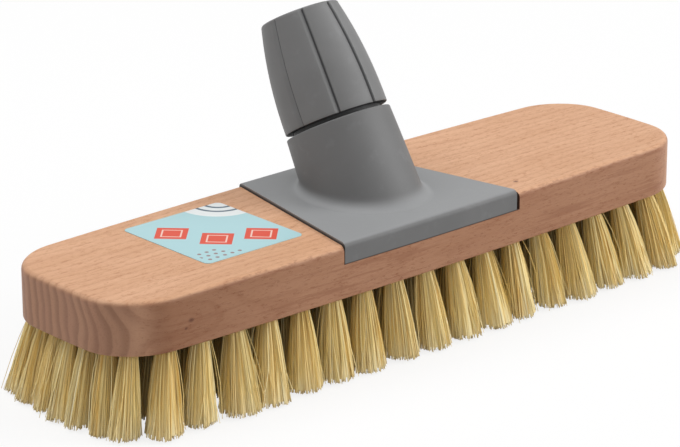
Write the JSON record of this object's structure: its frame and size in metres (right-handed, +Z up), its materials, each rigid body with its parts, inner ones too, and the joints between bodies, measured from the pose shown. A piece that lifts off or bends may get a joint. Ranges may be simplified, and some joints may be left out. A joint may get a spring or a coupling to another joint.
{
  "type": "scrub brush",
  "caption": "Wooden scrub brush head with rows of natural bristle tufts, a tilted handle socket on a wedge-shaped plate and a screwed clamp nut.",
  "frame": {"origin": "on the floor that the bristle tips stand on, under the middle of the whole brush's box", "axes": "+X along the block, from the labelled half to the bare half; +Y from the front face to the back, the way the socket leans; +Z up"},
  "size_m": [0.3058, 0.0964, 0.1255],
  "materials": {
    "beech": "matte",
    "label_paper": "satin",
    "holder_plastic": "matte",
    "screw_steel": "satin",
    "ring_plastic": "matte",
    "nut_plastic": "matte",
    "fibre": "matte",
    "wire_steel": "satin"
  },
  "bodies": {
    "brush_head": {"wood_block": "beech", "label": "label_paper", "holder_plate": "holder_plastic", "handle_socket": "holder_plastic", "holder_screws": "screw_steel", "bristles_front_outer": "fibre", "bristles_front_inner": "fibre", "bristles_middle": "fibre", "bristles_back_inner": "fibre", "bristles_back_outer": "fibre", "bristles_left_end": "fibre", "bristles_right_end": "fibre", "wires_front_outer": "wire_steel", "wires_front_inner": "wire_steel", "wires_middle": "wire_steel", "wires_back_inner": "wire_steel", "wires_back_outer": "wire_steel", "wires_left_end": "wire_steel", "wires_right_end": "wire_steel"},
    "clamp": {"clamp_ring": "ring_plastic"},
    "nut": {"clamp_nut": "nut_plastic"}
  },
  "joints": [
    {"name": "clamp_slide", "type": "slide", "parent": "brush_head", "child": "clamp", "axis": [0, 0.5, 0.866], "range_m": [0, 0.02001]},
    {"name": "nut_turn", "type": "hinge", "parent": "clamp", "child": "nut", "pos_m": [0, 0.01275, 0.07978], "axis": [0, 0.5, 0.866], "range_deg": [0, 1440]}
  ],
  "couplings": [
    {"joint": "clamp_slide", "follows": "nut_turn", "m_per_rad": 0.00079577}
  ]
}
